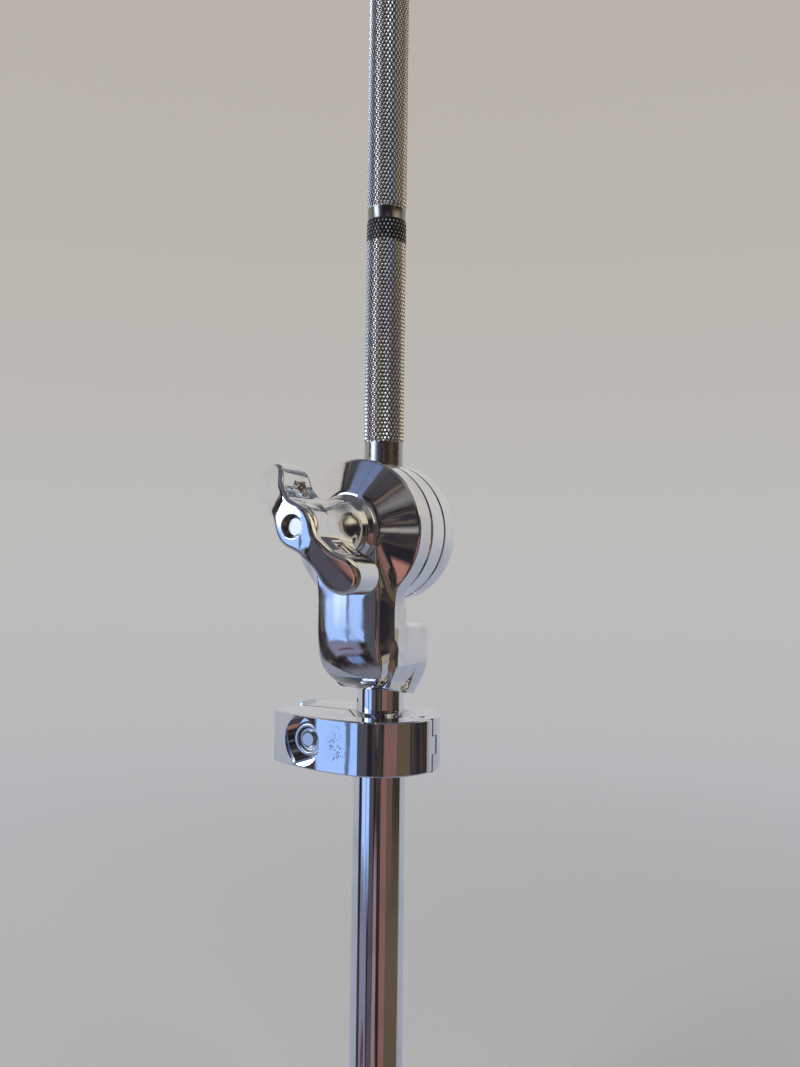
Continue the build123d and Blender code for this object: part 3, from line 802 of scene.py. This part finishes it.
def make_floor():
    """Pale floor that fades into the backdrop."""
    rings = [0.1, 0.2, 0.4, 0.8]
    height = -0.2 * MM
    verts, faces = [Vector((0, 0, height))], []
    count = 64
    for radius in rings:
        for k in range(count):
            a = 2 * math.pi * k / count
            verts.append(Vector((radius * math.cos(a), radius * math.sin(a), height)))
    for k in range(count):
        faces.append([0, 1 + k, 1 + (k + 1) % count])
        for r in range(len(rings) - 1):
            a, b = 1 + r * count, 1 + (r + 1) * count
            faces.append([a + k, b + k, b + (k + 1) % count, a + (k + 1) % count])
    floor = make_object("floor", verts, faces)
    material, tree, shader, add = new_material("floor_pale")
    coords = add("ShaderNodeTexCoord").outputs["Object"]
    shader.inputs["Base Color"].default_value = (0.92, 0.92, 0.92, 1)
    shader.inputs["Roughness"].default_value = 0.9
    length = add("ShaderNodeVectorMath", operation="LENGTH")
    tree.links.new(coords, length.inputs[0])
    fade = remap(tree, add, length.outputs["Value"], 0.10, 0.75, 1, 0)
    tree.links.new(fade, shader.inputs["Alpha"])
    floor.data.materials.append(material)
    floor.visible_glossy = False


def make_light(name, place, target, size, energy, colour):
    """Soft rectangular light aimed at a point."""
    data = bpy.data.lights.new(name, "AREA")
    data.shape = "RECTANGLE"
    data.size, data.size_y = size
    data.energy = energy
    data.color = colour
    lamp = bpy.data.objects.new(name, data)
    lamp.location = place
    lamp.rotation_mode = "QUATERNION"
    lamp.rotation_quaternion = (Vector(target) - Vector(place)).to_track_quat("-Z", "Y")
    bpy.context.scene.collection.objects.link(lamp)


AZIMUTH = math.radians(29.3)        # camera's side of the front
DISTANCE = 0.345
DROP = -0.0105                      # camera height from the bolt
SENSOR_WIDTH, LENS = 36.0, 32.05
YAW = math.radians(1.05)
PITCH = math.radians(1.7)
ROLL = math.radians(0.72)


def make_camera():
    """Phone camera just below the tilter, to the right of its front."""
    data = bpy.data.cameras.new("camera")
    data.sensor_width = SENSOR_WIDTH
    data.lens = LENS
    data.clip_start = 0.01
    camera = bpy.data.objects.new("camera", data)
    camera.location = (DISTANCE * math.sin(AZIMUTH), -DISTANCE * math.cos(AZIMUTH), tilt_z + DROP)
    ahead = Vector((-math.sin(AZIMUTH), math.cos(AZIMUTH), 0))
    right = Vector((math.cos(AZIMUTH), math.sin(AZIMUTH), 0))
    level = ahead * math.cos(YAW) + right * math.sin(YAW)
    look = level * math.cos(PITCH) + Vector((0, 0, 1)) * math.sin(PITCH)
    side = look.cross(Vector((0, 0, 1))).normalized()
    up = side.cross(look)
    turn = Matrix((side, up, -look)).transposed().to_4x4()
    camera.rotation_mode = "QUATERNION"
    camera.rotation_quaternion = (turn @ Matrix.Rotation(ROLL, 4, "Z")).to_quaternion()
    bpy.context.scene.collection.objects.link(camera)
    bpy.context.scene.camera = camera


# ---------------------------------------------------------------- the scene

make_camera()
make_world()
make_floor()
make_light("window", (-0.9, -1.2, 0.9), (0, 0, tilt_z), (0.7, 0.9), 9, (0.85, 0.92, 1.0))
bpy.context.scene.view_settings.view_transform = "Standard"

cast = chrome("chrome_cast", (0.76, 0.77, 0.80), 0.035, 0.14, 0.022)
drawn = chrome("chrome_drawn", (0.76, 0.77, 0.80), 0.02, 0.05, 0.006)
disc = chrome("chrome_disc", (0.80, 0.81, 0.83), 0.03, 0.06, 0.003)
pits = (-5.2 * MM, -21.8 * MM, tilt_z - 74.6 * MM)
lock = chrome("chrome_lock", (0.70, 0.73, 0.79), 0.03, 0.08, 0.014, pits)
paint_low = tilt_z + 105.6 * MM
paint_high = tilt_z + GROOVE_LOW * MM
knurl = knurl_chrome("chrome_knurl", paint_low, paint_high, KNURL_R * MM)
zinc = plain_metal("zinc_steel", (0.66, 0.67, 0.69), 0.22)
black = plain_metal("black_steel", (0.05, 0.05, 0.055), 0.35)
bronze = plain_metal("bronze", (0.60, 0.42, 0.20), 0.35)
nylon = moulded("nylon_black", (0.02, 0.02, 0.02), 0.42)
fibre = moulded("friction_fibre", (0.05, 0.045, 0.04), 0.75)

bolt = Vector((0, 0, tilt_z))
body = cast_skin("tilter_body_cast", body_field, (body_low - bolt) / MM, (body_high - bolt) / MM, 0.5)
wing_nut = cast_skin("wing_nut_cast", wing_nut_field, (nut_low - bolt) / MM, (nut_high - bolt) / MM, 0.3)

new_pieces = [
    # piece, body that carries it, replaced node, slot, material
    (make_rod(), "boom_rod", "boom_rod", "knurled_chrome", knurl),
    (make_tube(), "stand_tube", "tube", "tube_chrome", drawn),
    (body, "stand_tube", "tilter_body", "cast_chrome", cast),
    (wing_nut, "wing_nut", "wing_nut", "cast_chrome", cast),
    (make_lock_nut(), "lock_front", "lock_nut", "zinc_steel", zinc),
    (make_washer(), "nut_washer", "thrust_washer", "cast_chrome", cast),
]
for piece, carrier, node, slot, material in new_pieces:
    piece.data.materials.clear()
    piece.data.materials.append(material)
    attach(piece, carrier)
    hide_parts(node)

finishes = {
    "front_clamp_disc": disc, "rear_clamp_disc": disc, "memory_lock_front": lock, "memory_lock_rear": lock,
    "eye_bolt": zinc, "disc_guide_pins": zinc, "wing_nut_insert": zinc, "lock_hinge_pin": zinc,
    "key_screw": zinc, "key_screw_washer": zinc, "tube_set_screw": black,
    "stud_bush": bronze, "rod_guide_bush": nylon, "rod_tail_plug": nylon, "brake_ring": fibre,
}
for node, material in finishes.items():
    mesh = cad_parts[node].data
    mesh.materials.clear()
    mesh.materials.append(material)
